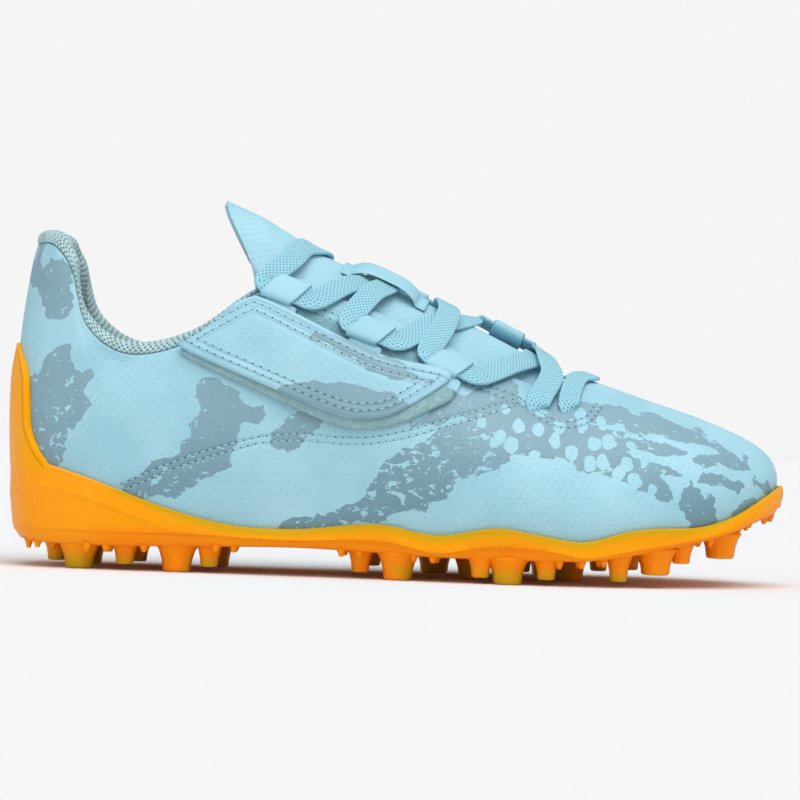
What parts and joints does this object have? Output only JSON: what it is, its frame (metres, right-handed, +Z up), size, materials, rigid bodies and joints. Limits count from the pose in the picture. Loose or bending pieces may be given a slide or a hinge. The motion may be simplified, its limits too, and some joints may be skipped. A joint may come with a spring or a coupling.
{
  "type": "football shoe",
  "caption": "Child's right football shoe with a moulded studded sole, hollow upper, padded collar, free tongue, closing wing and elastic lace.",
  "frame": {"origin": "on the floor, under the middle of the shoe's outline", "axes": "+X from the heel to the toe, +Y to the inner (medial) side, +Z up"},
  "size_m": [0.2262, 0.083, 0.105],
  "materials": {
    "moulding": "satin",
    "counter": "satin",
    "synthetic_leather": "fine grain, matt",
    "knit": "mesh knit",
    "felt": "felt",
    "foam": "textile covered foam",
    "elastic": "woven elastic"
  },
  "bodies": {
    "root": {"outsole": "moulding", "upper": "synthetic_leather", "insole": "foam", "heel_cap": "counter", "collar": "knit", "tongue": "synthetic_leather", "strap_base": "felt", "strap": "synthetic_leather", "near_loop_1": "synthetic_leather", "near_loop_2": "synthetic_leather", "near_loop_3": "synthetic_leather", "far_loop_1": "synthetic_leather", "far_loop_2": "synthetic_leather", "far_loop_3": "synthetic_leather", "lace": "elastic", "lace_bar": "elastic", "tongue_keeper": "synthetic_leather"}
  },
  "joints": []
}
